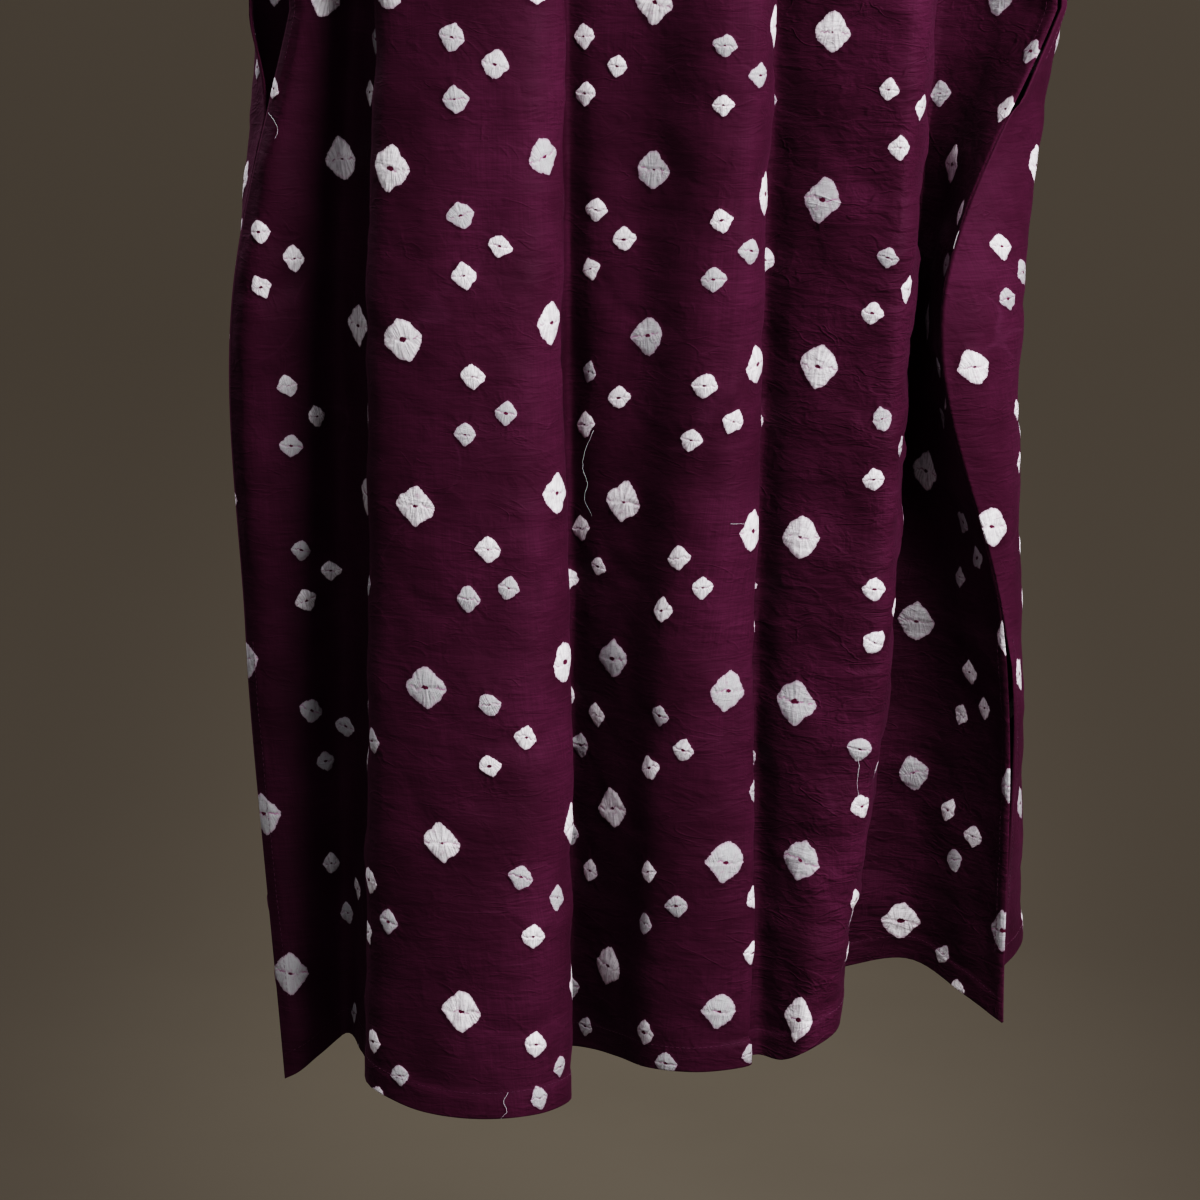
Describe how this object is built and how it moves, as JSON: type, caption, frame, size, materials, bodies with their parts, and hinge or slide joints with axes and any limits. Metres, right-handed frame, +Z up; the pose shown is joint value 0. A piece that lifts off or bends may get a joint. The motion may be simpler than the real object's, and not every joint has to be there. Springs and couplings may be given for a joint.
{
  "type": "bandhani kaftan",
  "caption": "Full-length tie-dyed kaftan hanging as worn: two wide panels in deep folds, bound neck, open sleeve ends and slit sides.",
  "frame": {"origin": "between the wearer's shoulders, level with the top of the shoulder seams, where the garment is held up", "axes": "+Z up, the front of the garment faces -Y, +X is the right-hand side seen from the front"},
  "size_m": [0.5991, 0.3786, 1.3178],
  "materials": {
    "bandhani_cloth": "soft silk-cotton in deep plum with tied white dots, low sheen",
    "binding_cloth": "plain plum cotton-silk bias binding, low sheen"
  },
  "bodies": {
    "root": {"front_panel": "bandhani_cloth", "back_panel": "bandhani_cloth", "neck_binding": "binding_cloth"}
  },
  "joints": []
}
